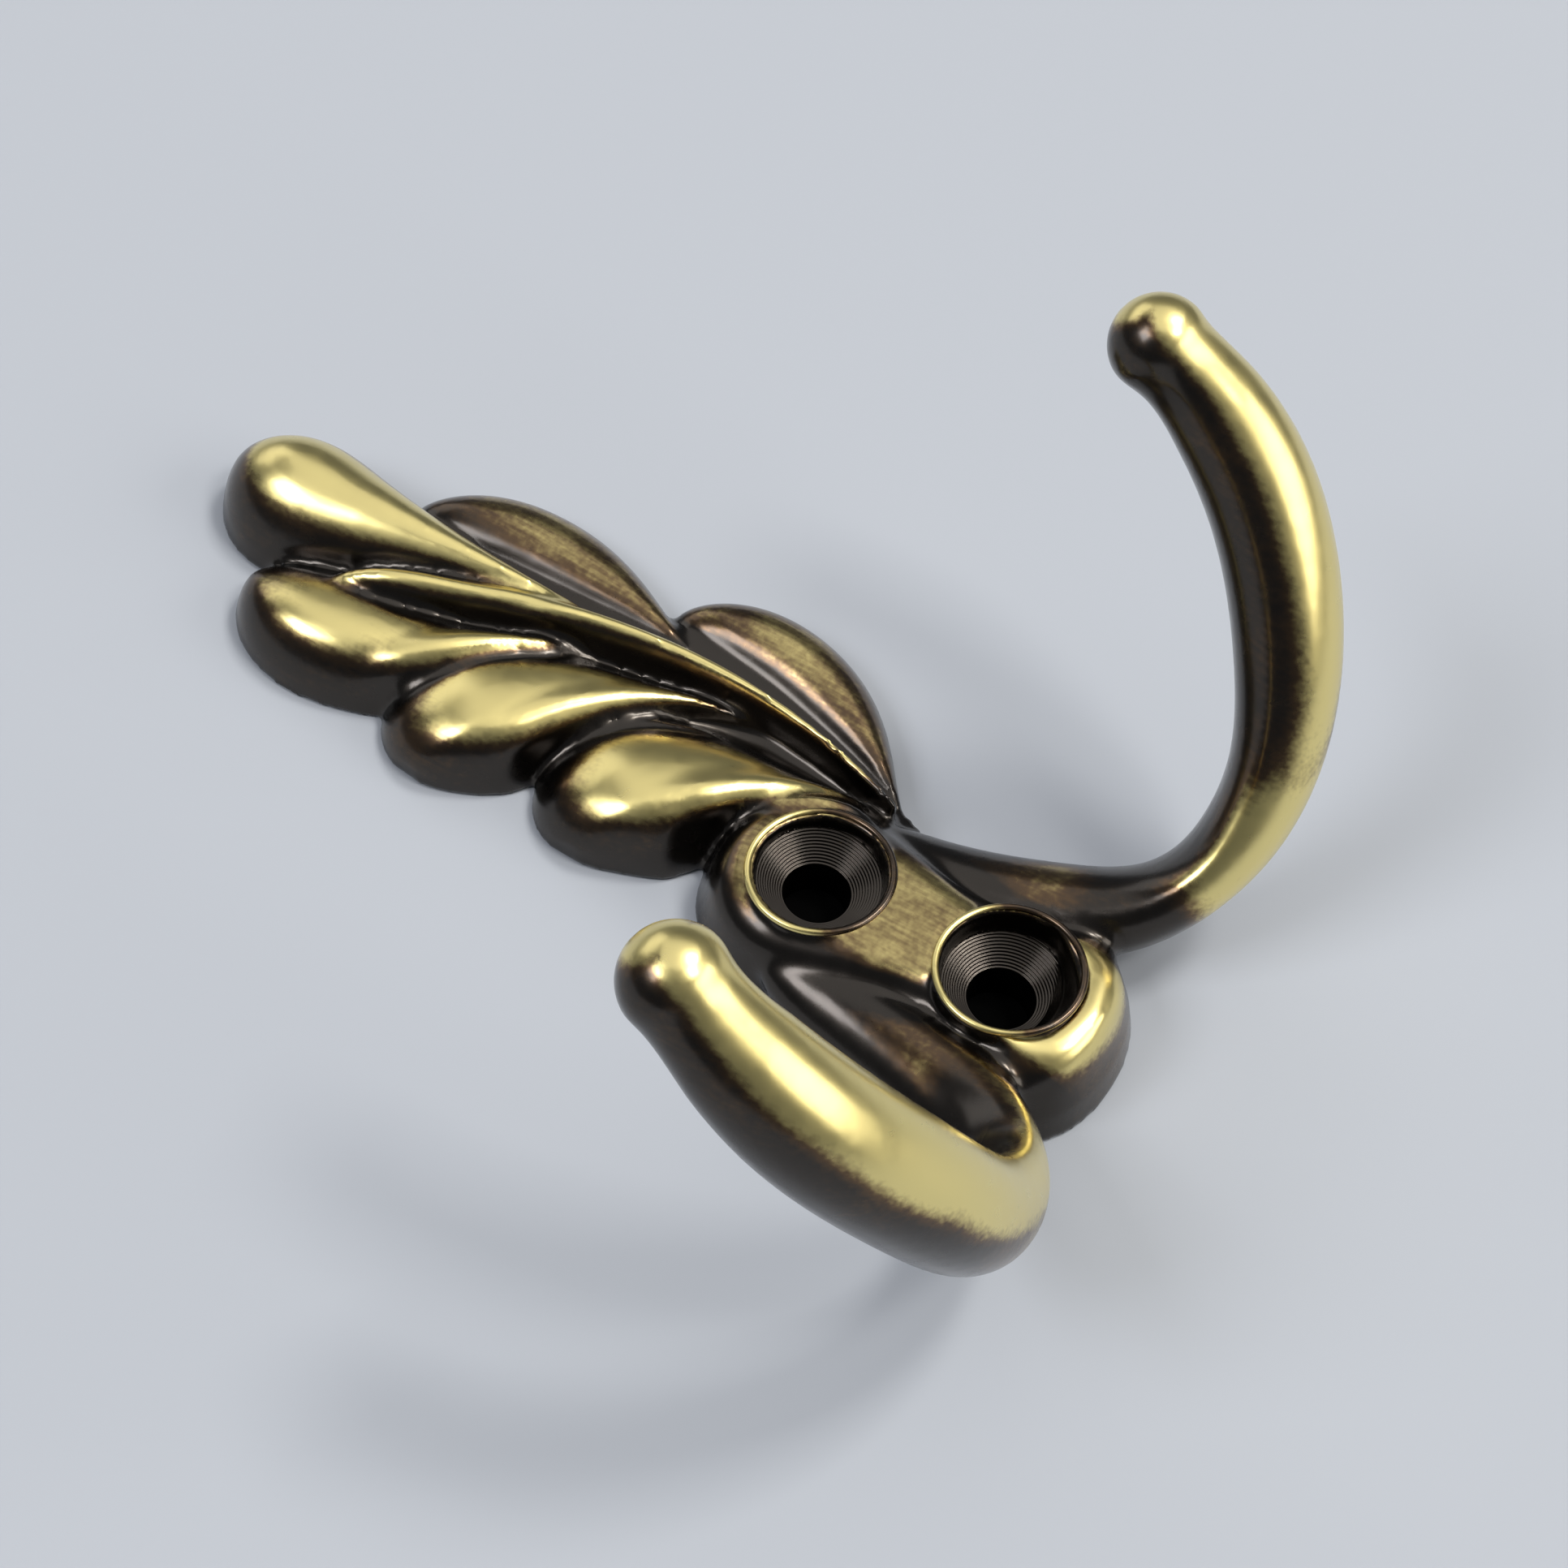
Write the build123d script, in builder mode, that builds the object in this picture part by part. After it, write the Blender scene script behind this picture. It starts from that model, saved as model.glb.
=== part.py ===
# Double coat hook in one casting: a curled leaf back plate, a body with two
# countersunk screw holes, and two splayed prongs with ball tips.
# Millimetres. The flat back lies on Z = 0, Z points out of the wall, Y points
# up to the leaf tip and the origin is midway between the two screw holes.

import os
from math import cos, pi, radians, sin
from build123d import *

# Screw holes
hole_pitch = 12.6
screw_d = 4.2
cone_d = 7.6
rim_d = 8.1
web_t = 2.8
cone_depth = 1.45
bead_w = 0.5
bead_t = 0.16

# Body round the screw holes
body_w = 12.0
waist_w = 9.0
chin_w = 11.6
body_top = 12.8
body_bottom = 13.6
body_t = 5.3
body_rise = 0.9
body_crown = 26.0
body_round = 2.4
body_draft = 1.3

# Leaf
leaf_top = 54.4
leaf_w = 22.0
lobe_w = 11.0
far_lobe_w = 6.6
lobe_t = 5.0
tip_t = 6.2
far_lobe_t = 3.3
stem_t = 5.3
leaf_web_t = 2.0
stem_w = 3.4

# Prongs
prong_span = 49.2
prong_out = 31.2
prong_drop = 12.6
tip_rise = 2.3
prong_w = 7.2
root_w = 6.2
tip_d = 5.8
root_out = 2.5

# Back of the casting is trimmed flat, so every piece starts this far below it
under = 0.6

# Cuts along a lobe, the first one's turn round the nose, the handle length that
# makes a quarter round, and half a turn in degrees
nose_cuts = 5
tail_cuts = 6
nose_turn = radians(12)
quarter = 0.5523
half_turn = 180


def on_leaf(across, up):
    """A plan position given as parts of the leaf's width and height."""
    return Vector(across * leaf_w, up * leaf_top, 0)


def lobe(points, width, height, full_at, lean=0.0, hollow=0.0, tail_w=0.1, tail_t=0.5, keep=1.25):
    """A drop-shaped lobe: domed cuts square to a curved spine, round at the nose and thin at the tail.

    lean moves the crest to one side, and hollow turns the long side of the cut from round to dished.
    """
    with BuildLine(mode=Mode.PRIVATE):
        spine = Bezier(*points)
    deep = 0.15 * height
    cuts = []
    for step in range(nose_cuts + tail_cuts):
        if step < nose_cuts:
            turn = nose_turn + (pi / 2 - nose_turn) * step / (nose_cuts - 1)
            at = full_at * (1 - cos(turn))
            swell = sin(turn)
            lift = swell ** 0.8
            dish = 0
        else:
            past = (step - nose_cuts + 1) / tail_cuts
            at = full_at + (1 - full_at) * past
            fade = (1 + cos(pi * past ** keep)) / 2
            swell = tail_w + (1 - tail_w) * fade
            lift = 1 - (1 - tail_t) * past ** 2
            dish = hollow * min(2 * past, 1)
        along = spine % at
        wide = width * swell
        crest = lean * wide
        tall = height * lift + deep
        short = crest + wide / 2
        long = wide / 2 - crest
        square = Plane(origin=spine @ at - Vector(0, 0, deep), x_dir=Vector(0, 0, 1).cross(along), z_dir=along)
        with BuildSketch(square) as cut:
            with BuildLine():
                Bezier(
                    (-wide / 2, 0), (-wide / 2, quarter * tall), (crest - quarter * short, tall), (crest, tall)
                )
                Bezier(
                    (crest, tall), (crest + (quarter - 0.15 * dish) * long, tall),
                    (crest + (1 - 0.45 * dish) * long, (quarter - 0.4 * dish) * tall), (wide / 2, 0)
                )
                Line((wide / 2, 0), (-wide / 2, 0))
            make_face()
        cuts.append(cut.sketch)
    loft(sections=cuts)


# Leaf: a web that fills between the lobes, a drop-shaped tip, three near lobes, two far lobes and a stem
with BuildPart() as leaf:
    with BuildSketch(Plane.XY.offset(-under)):
        with BuildLine():
            Spline(
                on_leaf(0.2, 0.87), on_leaf(-0.08, 0.76), on_leaf(-0.04, 0.56), on_leaf(0.02, 0.36),
                on_leaf(0.15, 0.1), on_leaf(0.32, 0.05), on_leaf(0.41, 0.13), on_leaf(0.53, 0.26),
                on_leaf(0.56, 0.38), on_leaf(0.56, 0.56), on_leaf(0.4, 0.8), periodic=True,
            )
        make_face()
    extrude(amount=under + leaf_web_t)
    lobe([on_leaf(0.325, 1.0), on_leaf(0.29, 0.8), on_leaf(0.32, 0.72), on_leaf(0.42, 0.4)],
         0.9 * lobe_w, tip_t, 0.18, keep=0.72)
    lobe([on_leaf(0.06, 0.885), on_leaf(-0.1, 0.755), on_leaf(0.09, 0.66), on_leaf(0.385, 0.45)],
         0.87 * lobe_w, 0.92 * lobe_t, 0.3, lean=-0.14, hollow=0.8)
    lobe([on_leaf(-0.255, 0.59), on_leaf(0.02, 0.58), on_leaf(0.29, 0.52), on_leaf(0.4, 0.28)],
         lobe_w, 0.98 * lobe_t, 0.25, lean=-0.2, hollow=0.8)
    lobe([on_leaf(-0.225, 0.385), on_leaf(0.09, 0.385), on_leaf(0.29, 0.28), on_leaf(0.32, 0.075)],
         1.04 * lobe_w, 1.04 * lobe_t, 0.25, lean=-0.2, hollow=0.8)
    lobe([on_leaf(0.445, 0.792), on_leaf(0.664, 0.678), on_leaf(0.591, 0.539), on_leaf(0.473, 0.362)],
         1.03 * far_lobe_w, far_lobe_t, 0.33)
    lobe([on_leaf(0.582, 0.457), on_leaf(0.773, 0.325), on_leaf(0.591, 0.195), on_leaf(0.327, 0.074)],
         0.97 * far_lobe_w, 1.05 * far_lobe_t, 0.35)
    lobe([on_leaf(0.06, 0.815), on_leaf(0.24, 0.64), on_leaf(0.591, 0.409), on_leaf(0.327, 0.097)],
         stem_w, stem_t, 0.16, tail_w=0.3, tail_t=0.8)

# Body: a crowned boss that thickens towards the chin
upper = hole_pitch / 2
chin_y = -0.76 * body_bottom
slope = -body_rise / hole_pitch
face_at = Plane(origin=(0, 0, body_t + body_rise / 2), x_dir=(1, 0, 0), z_dir=(0, -slope, 1))
foot = Plane.XY.offset(-under)
head = Plane.XY.offset(2 * body_t)
with BuildPart() as body:
    sides = []
    for level in (foot, head):
        grow = body_draft * (body_t / 2 - level.origin.Z) / body_t
        round_y = body_top - body_w / 2
        round_r = body_w / 2 + grow
        waist = waist_w / 2 + grow
        chin = chin_w / 2 + grow
        with BuildSketch(level) as outline:
            with BuildLine():
                CenterArc((0, round_y), round_r, 0, half_turn)
                Spline((-round_r, round_y), (-waist, 0.3 * chin_y), (-chin, chin_y), tangents=[(0, -1), (0, -1)])
                EllipticalCenterArc((0, chin_y), chin, body_bottom + chin_y + grow, half_turn, arc_size=half_turn)
                Spline((chin, chin_y), (waist, 0.3 * chin_y), (round_r, round_y), tangents=[(0, 1), (0, 1)])
            make_face()
        sides.append(outline.sketch)
    loft(sections=sides, ruled=True)
    with Locations(face_at.offset(-body_crown)):
        Cylinder(body_crown, 6 * body_top, rotation=(90, 0, 0), mode=Mode.INTERSECT)
    fillet(body.faces().sort_by(Axis.Z)[-1].edges(), body_round)

# Prong: flattened round cuts along a bend that leaves the body's flank, turns out and comes forward
swing = Vector(0.835, 0.234, -0.498)
half_span = prong_span / 2
with BuildPart() as prong:
    with BuildLine(mode=Mode.PRIVATE):
        bend = Spline(
            (0.21 * half_span, 0.5 * prong_drop, root_out),
            (0.27 * half_span, -0.32 * prong_drop, root_out * 1.04),
            (0.41 * half_span, -0.85 * prong_drop, 0.17 * prong_out),
            (0.62 * half_span, -prong_drop, 0.3 * prong_out),
            (0.855 * half_span, -0.82 * prong_drop, 0.585 * prong_out),
            (0.995 * half_span, -0.34 * prong_drop, 0.835 * prong_out),
            (half_span, tip_rise, prong_out),
        )
    cuts = []
    for at, wide, outer, inner in (
        (0.0, 0.36 * root_w, 0.8, 0.8),
        (0.03, 0.64 * root_w, 0.85, 0.8),
        (0.1, 0.86 * root_w, 0.95, 0.8),
        (0.19, root_w, 0.95, 0.8),
        (0.28, root_w, 0.95, 0.7),
        (0.36, 0.96 * root_w, 0.95, 0.48),
        (0.44, 0.94 * prong_w, 0.95, 0.42),
        (0.54, 0.98 * prong_w, 0.98, 0.58),
        (0.66, prong_w, 0.98, 0.78),
        (0.78, prong_w, 0.98, 0.84),
        (0.89, 0.91 * prong_w, 0.98, 0.9),
        (0.96, 0.98 * tip_d, 0.98, 0.95),
        (1.0, 0.96 * tip_d, 0.98, 0.98),
    ):
        along = bend % at
        with BuildSketch(Plane(origin=bend @ at, x_dir=swing - along * swing.dot(along), z_dir=along)) as cut:
            with BuildLine():
                EllipticalCenterArc((0, 0), wide / 2, inner * wide / 2, 0, arc_size=half_turn)
                EllipticalCenterArc((0, 0), wide / 2, outer * wide / 2, half_turn, arc_size=half_turn)
            make_face()
        cuts.append(cut.sketch)
    loft(sections=cuts)
    with Locations(bend @ 1):
        Sphere(tip_d / 2)

# Collar: the thin raised bead round each countersink
with BuildPart() as collar:
    with Locations((0, 0, bead_t)):
        Cylinder(rim_d / 2 + bead_w, body_t / 2, align=(Align.CENTER, Align.CENTER, Align.MAX))
    chamfer(collar.edges().sort_by(Axis.Z)[-1], 0.6 * bead_t)

# Drill: the clearance hole, its machined cone and the cast recess above it
with BuildPart() as bit:
    with BuildSketch(Plane.XZ):
        with BuildLine():
            Polyline(
                (0, -2 * under), (screw_d / 2, -2 * under), (screw_d / 2, web_t), (cone_d / 2, web_t + cone_depth),
                (rim_d / 2, body_t + body_rise), (rim_d / 2, 2 * body_t), (0, 2 * body_t), close=True,
            )
        make_face()
    revolve(axis=Axis.Z)

with BuildPart() as hook_casting:
    add(leaf.part)
    add(body.part)
    add(prong.part)
    add(mirror(prong.part, about=Plane.YZ, mode=Mode.PRIVATE))
    for y in (upper, -upper):
        with Locations(face_at):
            with Locations((0, y, 0)):
                add(collar.part)
    for y in (upper, -upper):
        with Locations((0, y, 0)):
            add(bit.part, mode=Mode.SUBTRACT)
    # Flat back
    with Locations((0, 0, -prong_out)):
        Box(4 * prong_span, 4 * leaf_top, 2 * prong_out, mode=Mode.SUBTRACT)

hook_casting.part.label = "hook_casting"
os.makedirs("parts", exist_ok=True)
export_step(hook_casting.part, "parts/hook_casting.step")
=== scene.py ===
import math

import bpy
import bmesh
import numpy as np
from mathutils import Matrix, Vector
from mathutils.bvhtree import BVHTree


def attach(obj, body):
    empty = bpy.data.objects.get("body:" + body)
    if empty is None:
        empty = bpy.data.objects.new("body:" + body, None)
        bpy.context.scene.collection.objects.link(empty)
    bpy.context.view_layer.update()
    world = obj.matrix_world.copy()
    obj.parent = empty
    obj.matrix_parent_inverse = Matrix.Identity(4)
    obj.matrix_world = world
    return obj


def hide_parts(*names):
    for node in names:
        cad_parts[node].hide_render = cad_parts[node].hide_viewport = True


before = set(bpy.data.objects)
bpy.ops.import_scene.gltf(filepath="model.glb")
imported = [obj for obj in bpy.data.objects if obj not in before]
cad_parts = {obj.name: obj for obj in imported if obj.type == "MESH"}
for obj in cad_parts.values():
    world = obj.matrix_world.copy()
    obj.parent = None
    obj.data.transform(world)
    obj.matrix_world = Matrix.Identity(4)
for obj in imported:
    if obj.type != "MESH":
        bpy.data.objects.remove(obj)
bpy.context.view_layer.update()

MM = 0.001
NODE = "hook_casting"
BODY = "root"

# Screw holes, as in the casting
HOLE_PITCH = 12.6 * MM
SCREW_D = 4.2 * MM
CONE_D = 7.6 * MM
RIM_D = 8.1 * MM
WEB_T = 2.8 * MM
CONE_DEPTH = 1.45 * MM
BEAD_W = 0.5 * MM
BEAD_T = 0.16 * MM
BODY_T = 5.3 * MM
BODY_RISE = 0.9 * MM
HOLES = (("upper", HOLE_PITCH / 2), ("lower", -HOLE_PITCH / 2))

# Turned faces of the screw holes, as a thin liner with the cutter's grooves
TURN_SEGMENTS = 128
GROOVES = 11
GROOVE_T = 0.06 * MM
GROOVE_STEPS = 8
LINER_T = 0.3 * MM
LINER_FOOT = 0.02 * MM
THROAT_GAP = 0.05 * MM

# Rounded beads: the side that carries a painted highlight, how far the patina is off all round, and how much
# the painted highlight adds there
BEAD_R = 0.22 * MM
BEAD_SIDES = 20
BEAD_HIGHLIGHT_SIDE = (-0.6, 0.8, 0.0)
BEAD_HIGHLIGHT_FROM = (-0.4, 0.5)
BEAD_RUBBED = 0.35
BEAD_HIGHLIGHT_LIFT = 0.8
BEAD_SEAT_EDGE = 0.3 * MM
FACE_OUT = (4.3 * MM, 4.8 * MM)

# Skin of the casting: its mesh width, the pulls that smooth it, and the foot that stays true to the solid
WELD = 0.002 * MM
SKIN_PITCH = 0.265 * MM
SKIN_SMOOTHING = 4
SMOOTH_PULLS = (0.5, -0.52)
SOFT_PULL = 0.5
FOOT_T = 1.2 * MM
FOOT_PASSES = 3
FOOT_SOFTENING = 2

# Ridges along the lower edge of the three near lobes, as Bezier points in plan
RIDGES = (
    ((-5.2, 37.0), (-1.5, 34.8), (4.5, 32.5), (6.6, 26.5)),
    ((-5.4, 27.0), (-0.5, 26.4), (5.6, 22.6), (7.0, 15.5)),
    ((-3.4, 16.6), (1.6, 14.6), (5.6, 9.6), (5.6, 4.5)),
)
RIDGE_STEPS = 80
RIDGE_T = 0.7 * MM
RIDGE_UPPER = 2.4 * MM
RIDGE_LOWER = 1.1 * MM
RIDGE_RISES = (0.0, 0.3)
RIDGE_FADES = (0.8, 1.0)
RIDGE_FACING = (0.1, 0.5)
RIDGE_OUT = (1.5 * MM, 3.0 * MM)

# Creases between the lobes, the chin and the necks under the ball tips, which a casting has softly rounded
CREASE_SPREAD = 6
CREASE_DEPTH = 0.05 * MM
CREASE_FROM = (0.05, 0.5)
CREASE_BLUR = 2
CREASE_SOFTENING = 14
CHIN_DOWN = (7.5 * MM, 10.0 * MM)
CHIN_OUT = (2.0 * MM, 3.5 * MM)
CHIN_FLANK = (5.0 * MM, 6.5 * MM)
CHIN_SOFTENING = 120
NECKS = ((24.57, 0.4, 29.7), (-24.57, 0.4, 29.7))
NECK_REACH = (2.4 * MM, 4.2 * MM)
NECK_SOFTENING = 40

# Sides that make the faces turned to them lighter, partly wear and partly painted light from the lamps: the
# side, and how squarely a face has to turn to it to start getting lighter and to be fully light
STRAIGHT_SIDE = ((0.05, -0.15, 0.98), 0.4, 0.85)
LOW_SIDE = ((0.15, -0.5, 0.85), 0.45, 0.85)
BEND_SIDE = ((0.0, -0.86, 0.5), 0.3, 0.7)
REAR_SIDE = ((0.2, 0.7, 0.68), 0.55, 0.95)
SEAT_SIDE = ((-0.55, -0.35, 0.76), 0.35, 0.8)

# Where each side counts, as pairs of places between which its share changes: the low side on the prongs
# and the chin, the bend side under the bends, the rear side behind the prongs, the seat side in the seats
LOW_OUT = (8 * MM, 12 * MM)
LOW_DOWN = (5 * MM, 8 * MM)
BEND_FLANK = (6 * MM, 11 * MM)
BEND_DOWN = (2 * MM, 5 * MM)
BEND_OUT = (11 * MM, 17 * MM)
LEFT_BEND_SHARE = 0.5
REAR_OUT = (8 * MM, 14 * MM)
REAR_SHARE = 0.9
SEAT_FLANK = (7 * MM, 11 * MM)
SEAT_OUT = (10 * MM, 16 * MM)
SEAT_SHARE = 0.95

# Relief that the brush feels, from fine to broad: rounds of blurring, share, and the height of a full bulge
RELIEF = ((12, 0.3, 0.05 * MM), (60, 0.45, 0.16 * MM), (200, 0.45, 0.42 * MM))
RELIEF_LIMITS = (-1.5, 0.5)
RELIEF_SHARE = 0.5

# Faces far out of the wall get more of the wear and painted light than those near it
RAISED_OUT = (2.8 * MM, 5.4 * MM)
NEAR_WALL_SHARE = 0.35
RAISED_SHARE = 0.75

# Bristles that feel from each spot how open it is: how far, how many, how low they lie, where they start,
# and what one that only grazes the face counts
BRISTLE_REACH = 14 * MM
BRISTLES = 20
BRISTLE_LOWEST = 0.15
BRISTLE_START = 0.12 * MM
GRAZING_WEIGHT = 0.15
GRAZING_LIMIT = -0.2
GOLDEN_TURN = math.pi * (3 - math.sqrt(5))
OPEN_BLUR = 3
CLOSED_DARK = 1.2

# Patina that stayed on: the roots of the prongs, and the face between the screw holes
ROOT_FLANK_START = (3.4 * MM, 5.2 * MM)
ROOT_FLANK_END = (7 * MM, 11 * MM)
ROOT_OUT = (5.5 * MM, 10 * MM)
ROOT_UP = (6 * MM, 9 * MM)
ROOT_DARK = 0.8
MIDDLE_LOWEST = -1 * MM
MIDDLE_REACH = (5.2 * MM, 6.6 * MM)
MIDDLE_UP = (-6 * MM, -1 * MM)
MIDDLE_OUT = (3 * MM, 4.5 * MM)
MIDDLE_DARK = 0.62

# Colours and breaks of the patina: size of the feature, detail, and share
DARK_PATINA = "#3A3530"
BROWN_PATINA = "#72573A"
BARE_BRASS = "#EEDC92"
CLOUDS = (2.5 * MM, 3, 0.6)
STROKES = (0.15 * MM, 1, 0.3)
SPECKS = (0.2 * MM, 1, 0.25)
STROKE_TURN = (0.0, 0.0, math.radians(35))
STROKE_STRETCH = (1.0, 0.08, 1.0)
PATINA_THINS = (0.1, 0.85)
BRASS_SHOWS = (0.5, 1.15)
GRIT = (0.6 * MM, 2, 0.12)
LACQUER_ROUGH = 0.2
BARE_ROUGHER = 0.04

# Sockets of the Mix node when it mixes colours
MIX_A = 6
MIX_B = 7
MIX_RESULT = 2

# Stage
FLOOR_REACH = 4.0
FLOOR_DROP = 0.02 * MM
# Black discs under the screw holes, as painted shade: their drop below the back, and their number of sides
HOLE_SHADE_DROP = 0.01 * MM
HOLE_SHADE_SIDES = 48
LAMPS_AIM = Vector((0.0, 15.0, 10.0)) * MM
WARM_WHITE = "#FFFDF8"
COOL_WHITE = "#F8FAFF"
WHITE = "#FFFFFF"
SKY = "#D4DAE4"
SKY_STRENGTH = 0.16

# The photograph's view
CAMERA_AT = Vector((-86.6, -29.5, 149.7)) * MM
VIEW_HEADING = math.radians(24.24)
VIEW_DIP = math.radians(55.48)
VIEW_ROLL = math.radians(8.97)
LENS = 67.7
SENSOR = 36.0
NEAREST_SEEN = 0.01
FURTHEST_SEEN = 10.0


def linear(hex_colour):
    """Linear RGBA of an sRGB hex colour."""
    parts = [int(hex_colour[i:i + 2], 16) / 255 for i in (1, 3, 5)]
    bent = [c / 12.92 if c <= 0.04045 else ((c + 0.055) / 1.055) ** 2.4 for c in parts]
    return (*bent, 1.0)


def node(tree, kind, settings, out=0):
    """Adds a node with its properties, input values and links, and gives one of its outputs."""
    made = tree.nodes.new(kind)
    for name, value in settings.items():
        if isinstance(name, str) and hasattr(made, name):
            setattr(made, name, value)
        elif isinstance(value, bpy.types.NodeSocket):
            tree.links.new(value, made.inputs[name])
        else:
            made.inputs[name].default_value = value
    return made.outputs[out]


def mesh_object(name, mesh):
    """A new object at the origin that holds the mesh."""
    made = bpy.data.objects.new(name, mesh)
    bpy.context.scene.collection.objects.link(made)
    return made


class Skin:
    """Positions and neighbours of a mesh, as arrays."""

    def __init__(self, mesh):
        self.mesh = mesh
        self.count = len(mesh.vertices)
        spots = np.empty(self.count * 3)
        mesh.vertices.foreach_get("co", spots)
        self.spots = spots.reshape(-1, 3)
        ends = np.empty(len(mesh.edges) * 2, int)
        mesh.edges.foreach_get("vertices", ends)
        one, other = ends.reshape(-1, 2).T
        self.near = np.concatenate([one, other])
        self.far = np.concatenate([other, one])
        self.links = np.bincount(self.near, minlength=self.count).astype(float)

    def mean(self, values):
        """Each vertex's mean over its neighbours, for one row of values per vertex."""
        columns = [np.bincount(self.near, weights=c[self.far], minlength=self.count) for c in values.T]
        return np.stack(columns, axis=1) / self.links[:, None]

    def blurred(self, values, rounds):
        """Values spread over a patch that grows with the rounds."""
        for _ in range(rounds):
            values = self.mean(values)
        return values

    def smooth(self, rounds):
        """Takes the steps of the remesh out without shrinking the form."""
        for _ in range(rounds):
            for pull in SMOOTH_PULLS:
                self.spots += pull * (self.mean(self.spots) - self.spots)
        self.store()

    def soften(self, where, rounds):
        """Smooths the skin where the weights are high."""
        for _ in range(rounds):
            self.spots += SOFT_PULL * where[:, None] * (self.mean(self.spots) - self.spots)
        self.store()

    def store(self):
        """Writes the positions back to the mesh."""
        self.mesh.vertices.foreach_set("co", self.spots.ravel())
        self.mesh.update()

    def normals(self):
        """Vertex normals."""
        found = np.empty(self.count * 3)
        self.mesh.vertex_normals.foreach_get("vector", found)
        return found.reshape(-1, 3)

    def keep(self, name, values):
        """Keeps one number per vertex for the material to read."""
        made = self.mesh.attributes.new(name, "FLOAT", "POINT")
        made.data.foreach_set("value", values.astype(np.float32))


def step(values, start, end):
    """Smooth step from 0 at start to 1 at end."""
    part = np.clip((values - start) / (end - start), 0, 1)
    return part * part * (3 - 2 * part)


def fall(values, start, end):
    """Smooth step from 1 at start to 0 at end."""
    return 1 - step(values, start, end)


def bezier(points, count):
    """Points along a cubic Bezier, in metres."""
    part = np.linspace(0, 1, count)[:, None]
    a, b, c, d = (np.array(q) * MM for q in points)
    left = 1 - part
    return left ** 3 * a + 3 * left ** 2 * part * b + 3 * left * part ** 2 * c + part ** 3 * d


def true_up_foot(skin, solid):
    """Brings the foot back onto the solid, so that its edge runs even."""
    corners = [tuple(v.co) for v in solid.vertices]
    faces = [tuple(p.vertices) for p in solid.polygons]
    tree = BVHTree.FromPolygons(corners, faces)
    for _ in range(FOOT_PASSES):
        for i in np.flatnonzero(skin.spots[:, 2] < FOOT_T):
            skin.spots[i] = tree.find_nearest(Vector(skin.spots[i]))[0]
        skin.soften((skin.spots[:, 2] < FOOT_T).astype(float), FOOT_SOFTENING)


def seat_beads(skin):
    """Sinks the face a little under each bead, so that only the bead's own round shows."""
    for _, y in HOLES:
        gap = np.hypot(skin.spots[:, 0], skin.spots[:, 1] - y) - RIM_D / 2
        under = step(gap, -BEAD_SEAT_EDGE, 0.0) * fall(gap, BEAD_W, BEAD_W + BEAD_SEAT_EDGE)
        skin.spots[:, 2] -= BEAD_T * under * step(skin.spots[:, 2], *FACE_OUT)
    skin.store()


def raise_ridges(skin):
    """Pulls each near lobe up into a ridge that falls off gently above and steeply below."""
    facing = skin.normals()
    for points in RIDGES:
        line = bezier(points, RIDGE_STEPS)
        along = np.gradient(line, axis=0)
        along /= np.linalg.norm(along, axis=1)[:, None]
        gaps = skin.spots[:, None, :2] - line[None]
        nearest = np.argmin((gaps ** 2).sum(axis=2), axis=1)
        gap = gaps[np.arange(skin.count), nearest]
        tangent = along[nearest]
        side = tangent[:, 0] * gap[:, 1] - tangent[:, 1] * gap[:, 0]
        reach = np.where(side > 0, RIDGE_UPPER, RIDGE_LOWER)
        off = np.clip(np.linalg.norm(gap, axis=1) / reach, 0, 1)
        part = nearest / (len(line) - 1)
        ends = step(part, *RIDGE_RISES) * fall(part, *RIDGE_FADES)
        top = step(facing[:, 2], *RIDGE_FACING) * step(skin.spots[:, 2], *RIDGE_OUT)
        skin.spots[:, 2] += RIDGE_T * (1 - off ** 2) ** 2 * ends * top
    skin.store()


def fill_creases(skin):
    """Gives the creases between the lobes a casting's small fillet, and rounds the chin and the necks."""
    spread = skin.blurred(skin.spots, CREASE_SPREAD)
    hollow = ((spread - skin.spots) * skin.normals()).sum(axis=1) / CREASE_DEPTH
    crease = skin.blurred(step(hollow, *CREASE_FROM)[:, None], CREASE_BLUR)[:, 0]
    skin.soften(crease, CREASE_SOFTENING)
    across, up, out = skin.spots.T
    chin = step(-up, *CHIN_DOWN) * step(out, *CHIN_OUT) * fall(np.abs(across), *CHIN_FLANK)
    skin.soften(chin, CHIN_SOFTENING)
    for neck in NECKS:
        gap = np.linalg.norm(skin.spots - np.array(neck) * MM, axis=1)
        skin.soften(fall(gap, *NECK_REACH), NECK_SOFTENING)


def clear_holes(skin):
    """Draws the skin back inside the screw holes, where the turned faces stand in front of it."""
    cone_top = WEB_T + CONE_DEPTH
    for _, y in HOLES:
        away = skin.spots[:, :2] - np.array((0, y))
        gap = np.linalg.norm(away, axis=1)
        inside = (gap < CONE_D / 2 + LINER_T) * fall(skin.spots[:, 2], cone_top, cone_top + LINER_T)
        skin.spots[:, :2] += away / np.maximum(gap, MM)[:, None] * (LINER_T / 2 * inside)[:, None]
    skin.store()


def relief(skin, facing):
    """How far each spot stands out of its surroundings."""
    felt = np.zeros(skin.count)
    spread = skin.spots.copy()
    done = 0
    for rounds, share, height in RELIEF:
        spread = skin.blurred(spread, rounds - done)
        done = rounds
        bulge = ((skin.spots - spread) * facing).sum(axis=1) / height
        felt += share * np.clip(bulge, *RELIEF_LIMITS)
    return felt


def turned_towards(facing, side_rule):
    """How squarely each face turns towards a side, from 0 to 1."""
    side, start, full = side_rule
    return step(facing @ np.array(side), start, full)


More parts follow.
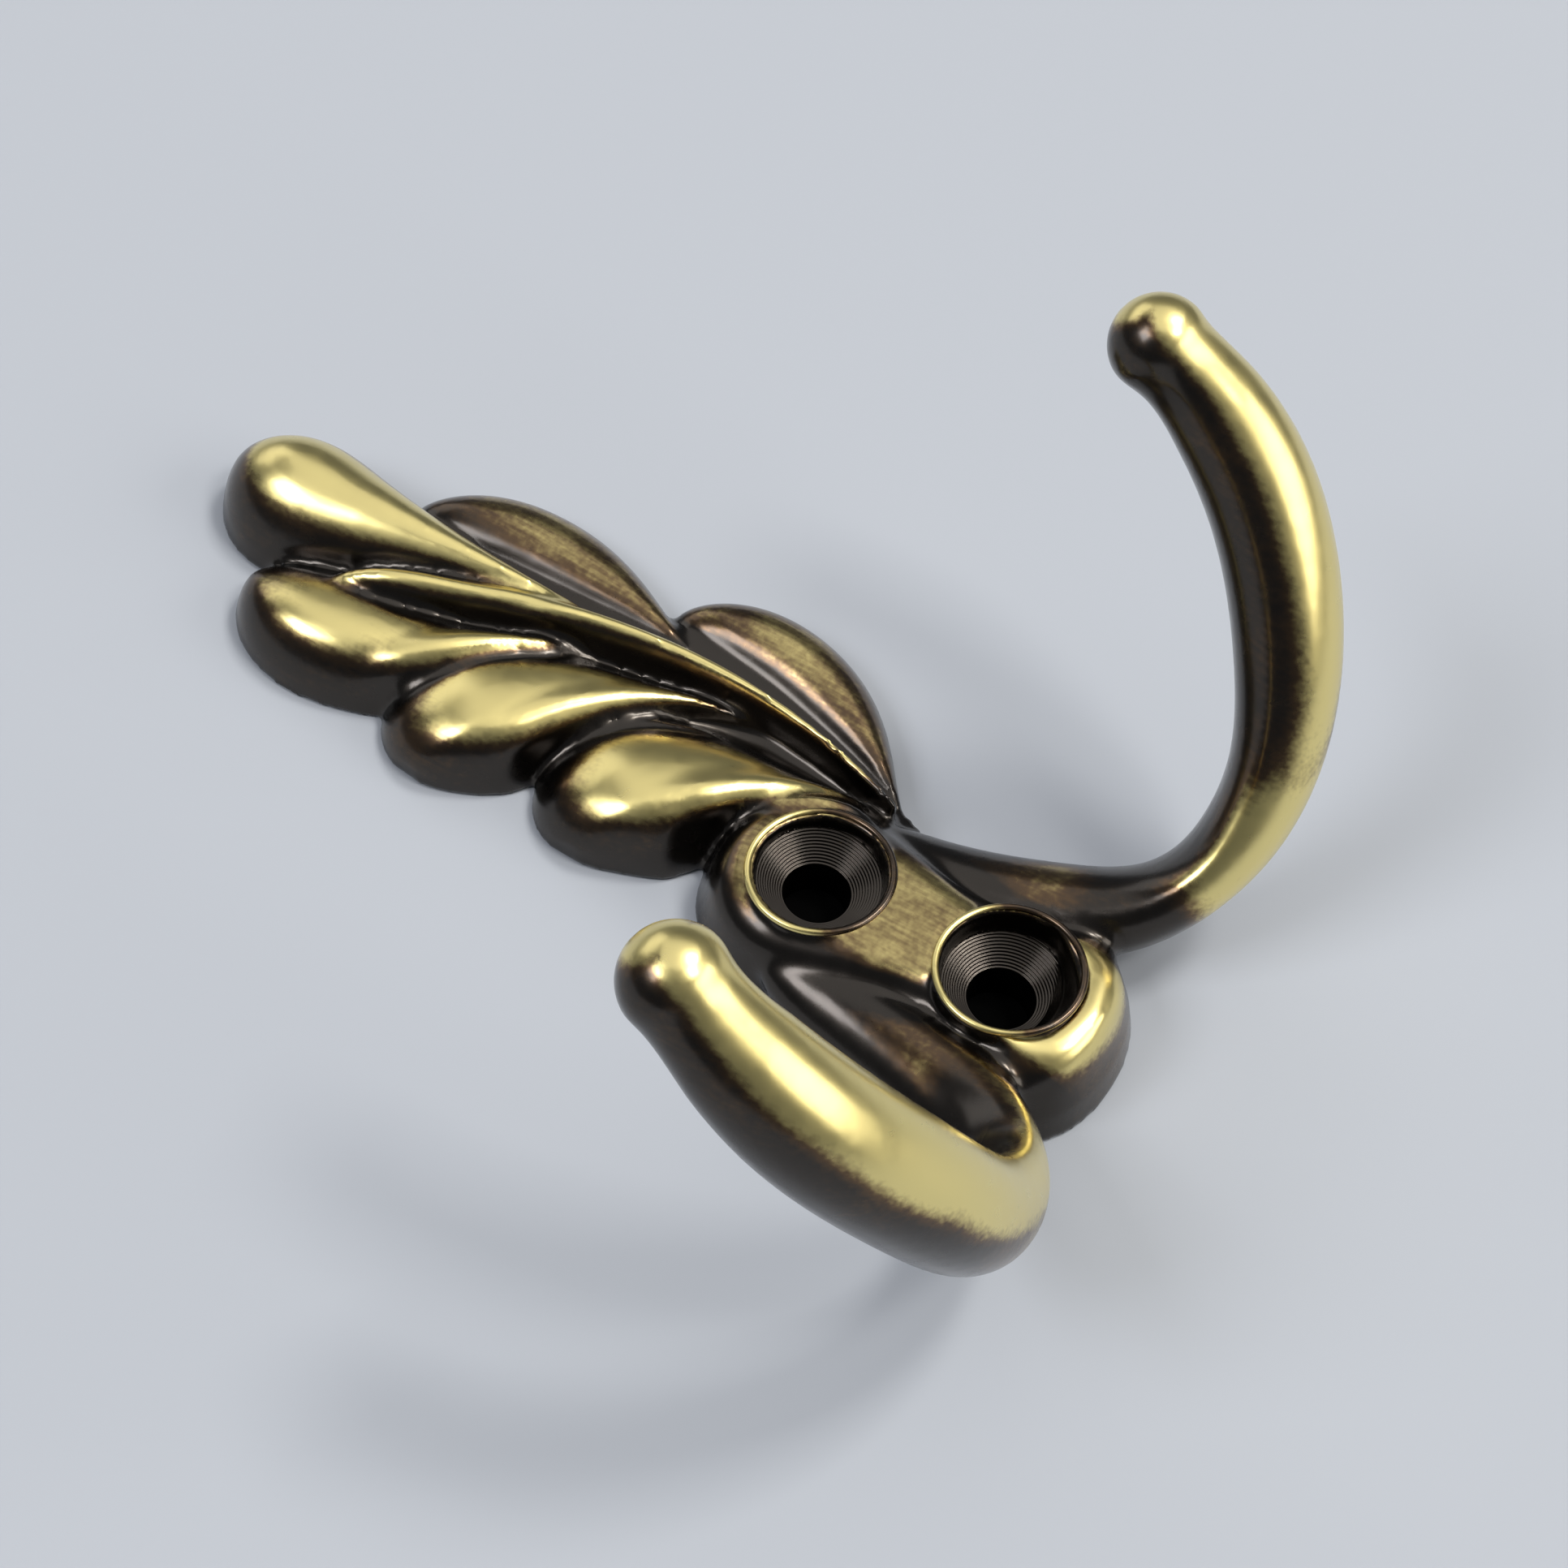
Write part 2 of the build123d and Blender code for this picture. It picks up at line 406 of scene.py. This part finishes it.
def lit_side_wear(skin, facing):
    """How much each spot is made lighter by the side it faces, partly wear and partly painted light: the leaf
    straight on, the chin and the prongs from below, the bends from further below, and the prongs' backs and
    seats each from their own side."""
    across, up, out = skin.spots.T
    flank = np.abs(across)
    low = np.maximum(step(out, *LOW_OUT), step(-up, *LOW_DOWN))
    wear_and_sheen = (1 - low) * turned_towards(facing, STRAIGHT_SIDE) + low * turned_towards(facing, LOW_SIDE)
    bend = step(flank, *BEND_FLANK) * step(-up, *BEND_DOWN) * fall(out, *BEND_OUT)
    bend *= np.where(across < 0, LEFT_BEND_SHARE, 1)
    wear_and_sheen = np.maximum(wear_and_sheen, bend * turned_towards(facing, BEND_SIDE))
    rear = step(out, *REAR_OUT) * turned_towards(facing, REAR_SIDE)
    wear_and_sheen = np.maximum(wear_and_sheen, REAR_SHARE * rear)
    mirrored = facing.copy()
    mirrored[:, 0] *= np.sign(across)
    seat = step(flank, *SEAT_FLANK) * fall(out, *SEAT_OUT) * turned_towards(mirrored, SEAT_SIDE)
    return np.maximum(wear_and_sheen, SEAT_SHARE * seat)


def open_part(skin, facing):
    """Share of the bristles that reach each spot without meeting another part of the casting."""
    faces = [tuple(p.vertices) for p in skin.mesh.polygons]
    tree = BVHTree.FromPolygons([tuple(v) for v in skin.spots], faces)
    bristles = []
    for i in range(BRISTLES):
        lift = 1 - (i + 0.5) / BRISTLES * (1 - BRISTLE_LOWEST)
        turn = i * GOLDEN_TURN
        side = math.sqrt(1 - lift * lift)
        bristles.append(Vector((side * math.cos(turn), side * math.sin(turn), lift)))
    reached = np.zeros(skin.count)
    starts = skin.spots + facing * BRISTLE_START
    for i in range(skin.count):
        start = Vector(starts[i])
        away = Vector(facing[i])
        clear = 0.0
        total = 0.0
        for bristle in bristles:
            weight = max(bristle.dot(away), 0.0) + GRAZING_WEIGHT
            total += weight
            if bristle.dot(away) > GRAZING_LIMIT and tree.ray_cast(start, bristle, BRISTLE_REACH)[0] is None:
                clear += weight
        reached[i] = clear / total
    return skin.blurred(reached[:, None], OPEN_BLUR)[:, 0]


def left_dark(skin):
    """Patina that stayed on at the roots of the prongs and on the face between the screw holes."""
    across, up, out = skin.spots.T
    flank = np.abs(across)
    root = step(flank, *ROOT_FLANK_START) * fall(flank, *ROOT_FLANK_END)
    root *= fall(out, *ROOT_OUT) * fall(up, *ROOT_UP)
    from_middle = np.hypot(across, up - np.clip(up, MIDDLE_LOWEST, HOLE_PITCH / 2))
    middle = fall(from_middle, *MIDDLE_REACH) * step(up, *MIDDLE_UP) * step(out, *MIDDLE_OUT)
    return ROOT_DARK * root + MIDDLE_DARK * middle


def mark_wear_and_sheen(skin):
    """How far the patina is rubbed off, with painted light mixed in: most on open ridges and on faces turned
    to the lit sides, least in hollows.
    """
    facing = skin.normals()
    raised = step(skin.spots[:, 2], *RAISED_OUT)
    # Wear mixed with painted light: faces turned to the lit sides are made lighter
    wear_and_sheen = lit_side_wear(skin, facing) * (NEAR_WALL_SHARE + RAISED_SHARE * raised) + RELIEF_SHARE * relief(skin, facing)
    closed = 1 - open_part(skin, facing)
    skin.keep("wear_and_sheen", wear_and_sheen - CLOSED_DARK * closed - left_dark(skin))


def casting_skin():
    """The casting with an even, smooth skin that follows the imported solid."""
    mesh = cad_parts[NODE].data.copy()
    build = bmesh.new()
    build.from_mesh(mesh)
    bmesh.ops.remove_doubles(build, verts=build.verts, dist=WELD)
    build.to_mesh(mesh)
    build.free()
    rough = mesh_object("rough_casting", mesh)
    even = rough.modifiers.new("even", "REMESH")
    even.mode = "VOXEL"
    even.voxel_size = SKIN_PITCH
    even.use_smooth_shade = True
    seen = rough.evaluated_get(bpy.context.evaluated_depsgraph_get())
    skin_mesh = bpy.data.meshes.new_from_object(seen)
    bpy.data.objects.remove(rough)
    skin = Skin(skin_mesh)
    skin.smooth(SKIN_SMOOTHING)
    true_up_foot(skin, mesh)
    seat_beads(skin)
    raise_ridges(skin)
    fill_creases(skin)
    clear_holes(skin)
    mark_wear_and_sheen(skin)
    skin_mesh.polygons.foreach_set("use_smooth", [True] * len(skin_mesh.polygons))
    skin_mesh.materials.clear()
    return mesh_object("leaf_hook", skin_mesh)


def lathe(name, profile, where, tilt=0.0):
    """A closed ring: a profile of (radius, height) turned round an axis that leans towards the top."""
    lean = Matrix.Translation(where) @ Matrix.Rotation(tilt, 4, "X")
    count = len(profile)
    spots = []
    faces = []
    for i in range(TURN_SEGMENTS):
        turn = 2 * math.pi * i / TURN_SEGMENTS
        spots += [lean @ Vector((r * math.cos(turn), r * math.sin(turn), z)) for r, z in profile]
        here = i * count
        there = (i + 1) % TURN_SEGMENTS * count
        for k in range(count):
            after = (k + 1) % count
            faces.append((here + k, there + k, there + after, here + after))
    mesh = bpy.data.meshes.new(name)
    mesh.from_pydata([tuple(v) for v in spots], [], faces)
    mesh.polygons.foreach_set("use_smooth", [True] * len(faces))
    return mesh_object(name, mesh)


def countersink(name, where):
    """The turned cone of a screw hole, with the fine grooves of the cutter, and the wall of the hole."""
    slant = math.atan2(CONE_DEPTH, CONE_D / 2 - SCREW_D / 2)
    steps = GROOVES * GROOVE_STEPS
    grooves = []
    for i in range(steps + 1):
        part = i / steps
        wave = GROOVE_T * (0.5 + 0.5 * math.cos(2 * math.pi * GROOVES * part))
        r = SCREW_D / 2 + part * (CONE_D - SCREW_D) / 2 - wave * math.sin(slant)
        grooves.append((r, WEB_T + part * CONE_DEPTH + wave * math.cos(slant)))
    wall = SCREW_D / 2 - GROOVE_T
    back = SCREW_D / 2 + LINER_T
    inside = [(wall, LINER_FOOT), (wall, WEB_T - THROAT_GAP)]
    behind = [(CONE_D / 2 + LINER_T, WEB_T + CONE_DEPTH), (back, WEB_T - LINER_T), (back, LINER_FOOT)]
    return lathe(name, list(reversed(inside + grooves + behind)), where)


def bead(name, where, tilt):
    """The thin rounded lip round a countersink, with its patina and a painted highlight on one side."""
    radius = RIM_D / 2 + BEAD_W / 2
    ring = []
    for i in range(BEAD_SIDES):
        turn = 2 * math.pi * i / BEAD_SIDES
        ring.append((radius + BEAD_R * math.cos(turn), BEAD_R * math.sin(turn)))
    made = lathe(name, ring, where, tilt)
    skin = Skin(made.data)
    round_the_hole = (skin.spots - np.array(where)) / radius
    # Painted highlight: the side towards the window lamp is made lighter
    painted_highlight = step(round_the_hole @ np.array(BEAD_HIGHLIGHT_SIDE), *BEAD_HIGHLIGHT_FROM)
    skin.keep("wear_and_sheen", BEAD_RUBBED + BEAD_HIGHLIGHT_LIFT * painted_highlight)
    return made


def noise_scale(size):
    """Scale of a noise whose patches are about as wide as the size."""
    return 0.5 / size


def antique_brass():
    """Brass plating under a brown-black patina that is rubbed back by hand, then clear lacquer.

    It gleams gold on what stands up and, as painted light, on faces turned to the lamps' side; it fades
    through brown, and stays near black in the hollows.
    """
    made = bpy.data.materials.new("antique_brass")
    made.use_nodes = True
    tree = made.node_tree
    shader = tree.nodes["Principled BSDF"]
    where = node(tree, "ShaderNodeTexCoord", {}, out="Object")
    wear_and_sheen = node(tree, "ShaderNodeAttribute", {"attribute_name": "wear_and_sheen"}, out="Fac")

    # Cloudy patches, brush strokes and specks break the edge of the patina
    strokes = node(tree, "ShaderNodeMapping", {
        "Vector": where, "Rotation": STROKE_TURN, "Scale": STROKE_STRETCH})
    for (size, detail, share), at in ((CLOUDS, where), (STROKES, strokes), (SPECKS, where)):
        cloud = node(tree, "ShaderNodeTexNoise", {"Vector": at, "Scale": noise_scale(size), "Detail": detail})
        level = node(tree, "ShaderNodeMath", {"operation": "SUBTRACT", 0: cloud, 1: 0.5})
        wear_and_sheen = node(tree, "ShaderNodeMath", {"operation": "MULTIPLY_ADD", 0: level, 1: share, 2: wear_and_sheen})

    thin = node(tree, "ShaderNodeMapRange", {
        "interpolation_type": "SMOOTHSTEP", "Value": wear_and_sheen,
        "From Min": PATINA_THINS[0], "From Max": PATINA_THINS[1]})
    bare = node(tree, "ShaderNodeMapRange", {
        "interpolation_type": "SMOOTHSTEP", "Value": wear_and_sheen,
        "From Min": BRASS_SHOWS[0], "From Max": BRASS_SHOWS[1]})
    patina = node(tree, "ShaderNodeMix", {
        "data_type": "RGBA", "Factor": thin,
        MIX_A: linear(DARK_PATINA), MIX_B: linear(BROWN_PATINA)}, out=MIX_RESULT)
    colour = node(tree, "ShaderNodeMix", {
        "data_type": "RGBA", "Factor": bare, MIX_A: patina, MIX_B: linear(BARE_BRASS)}, out=MIX_RESULT)
    tree.links.new(colour, shader.inputs["Base Color"])

    # The lacquered patina is smooth, the bare brass a little duller, and fine grit varies both
    size, detail, share = GRIT
    grit = node(tree, "ShaderNodeTexNoise", {"Vector": where, "Scale": noise_scale(size), "Detail": detail})
    dull = node(tree, "ShaderNodeMath", {
        "operation": "MULTIPLY_ADD", 0: bare, 1: BARE_ROUGHER, 2: LACQUER_ROUGH})
    dull = node(tree, "ShaderNodeMath", {"operation": "MULTIPLY_ADD", 0: grit, 1: share, 2: dull})
    tree.links.new(dull, shader.inputs["Roughness"])
    shader.inputs["Metallic"].default_value = 1.0
    shader.inputs["Coat Weight"].default_value = 0.4
    shader.inputs["Coat Roughness"].default_value = 0.18
    return made


def plain_finish(name, settings):
    """A material that is even all over, with its values set on the shader's sockets."""
    made = bpy.data.materials.new(name)
    made.use_nodes = True
    shader = made.node_tree.nodes["Principled BSDF"]
    for socket, value in settings.items():
        shader.inputs[socket].default_value = value
    return made


def gunmetal():
    """Patina left whole on the turned faces of the screw holes, so they stay dark but gleam."""
    return plain_finish("gunmetal_patina", {
        "Base Color": linear("#4A4540"), "Metallic": 1.0, "Roughness": 0.2})


def pale_card():
    """Matt grey card, which gives an even pale floor that takes soft shadows."""
    return plain_finish("pale_grey_card", {"Base Color": linear("#B0B4BB"), "Roughness": 0.8})


def painted_hole_shade():
    """Black matt finish for the discs under the screw holes: painted shade, so that the holes look deep."""
    return plain_finish("painted_hole_shade", {
        "Base Color": linear("#080808"), "Roughness": 0.9, "Specular IOR Level": 0.0})


def flat_sheet(name, build, where, material):
    """A flat sheet of the stage, from a mesh that was just built."""
    mesh = bpy.data.meshes.new(name)
    build.to_mesh(mesh)
    build.free()
    mesh.transform(Matrix.Translation(where))
    mesh.materials.append(material)
    return mesh_object(name, mesh)


def lay_floor():
    """A pale floor, and a black disc under each screw hole as painted shade."""
    build = bmesh.new()
    bmesh.ops.create_grid(build, x_segments=1, y_segments=1, size=FLOOR_REACH)
    floor = flat_sheet("floor", build, (0, 0, -FLOOR_DROP), pale_card())
    dark = painted_hole_shade()
    for place, y in HOLES:
        build = bmesh.new()
        bmesh.ops.create_circle(build, cap_ends=True, segments=HOLE_SHADE_SIDES, radius=SCREW_D / 2 + LINER_T)
        # A black disc on the floor under the hole: painted shade seen through it
        felt = flat_sheet(place + "_felt", build, (0, y, -HOLE_SHADE_DROP), dark)


def area_light(name, heading, height, distance, width, depth, watts, colour):
    """A soft box that looks at the object from a heading and height in degrees."""
    data = bpy.data.lights.new(name, "AREA")
    data.shape = "RECTANGLE"
    data.size = width
    data.size_y = depth
    data.energy = watts
    data.color = linear(colour)[:3]
    lamp = bpy.data.objects.new(name, data)
    turn = math.radians(heading)
    lift = math.radians(height)
    away = Vector((math.cos(turn) * math.cos(lift), math.sin(turn) * math.cos(lift), math.sin(lift)))
    lamp.location = LAMPS_AIM + away * distance
    lamp.rotation_euler = away.to_track_quat("Z", "Y").to_euler()
    bpy.context.scene.collection.objects.link(lamp)


def light_studio():
    """Dim sky, a low key box, two small lamps that cast the two shadows, and broad fills."""
    world = bpy.data.worlds.new("studio")
    bpy.context.scene.world = world
    world.use_nodes = True
    sky = world.node_tree.nodes["Background"]
    sky.inputs["Color"].default_value = linear(SKY)
    sky.inputs["Strength"].default_value = SKY_STRENGTH
    area_light("key_box", heading=-72, height=28, distance=1.5,
               width=1.25, depth=0.75, watts=8.8, colour=WARM_WHITE)
    area_light("key_lamp", heading=-78, height=60, distance=1.5,
               width=0.3, depth=0.3, watts=5.6, colour=WARM_WHITE)
    area_light("second_lamp", heading=-30, height=62, distance=1.5,
               width=0.3, depth=0.3, watts=7.8, colour=WARM_WHITE)
    area_light("window", heading=138, height=46, distance=1.25,
               width=0.5, depth=0.42, watts=6.2, colour=COOL_WHITE)
    area_light("ceiling", heading=20, height=72, distance=2.0,
               width=2.5, depth=2.5, watts=13.8, colour=WHITE)
    area_light("back_fill", heading=70, height=25, distance=1.75,
               width=1.25, depth=0.75, watts=3.1, colour=WHITE)


def place_camera():
    """The photograph's camera."""
    lens = bpy.data.cameras.new("camera")
    lens.sensor_width = SENSOR
    lens.lens = LENS
    lens.clip_start = NEAREST_SEEN
    lens.clip_end = FURTHEST_SEEN
    camera = bpy.data.objects.new("camera", lens)
    flat = math.cos(VIEW_DIP)
    ahead = Vector((flat * math.cos(VIEW_HEADING), flat * math.sin(VIEW_HEADING), -math.sin(VIEW_DIP)))
    level = ahead.to_track_quat("-Z", "Y").to_matrix().to_4x4()
    camera.matrix_world = Matrix.Translation(CAMERA_AT) @ level @ Matrix.Rotation(VIEW_ROLL, 4, "Z")
    bpy.context.scene.collection.objects.link(camera)
    bpy.context.scene.camera = camera
    bpy.context.scene.view_settings.view_transform = "Standard"


def dress(piece, material):
    """Gives a piece its material and its place on the casting."""
    piece.data.materials.append(material)
    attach(piece, BODY)
    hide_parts(NODE)


finish = antique_brass()
dress(casting_skin(), finish)
turned = gunmetal()
face_tilt = math.atan2(-BODY_RISE, HOLE_PITCH)
for place, y in HOLES:
    dress(countersink(place + "_countersink", Vector((0, y, 0))), turned)
    face_z = BODY_T + BODY_RISE / 2 - y * BODY_RISE / HOLE_PITCH
    dress(bead(place + "_rim_bead", Vector((0, y, face_z + BEAD_T - BEAD_R)), face_tilt), finish)
lay_floor()
light_studio()
place_camera()
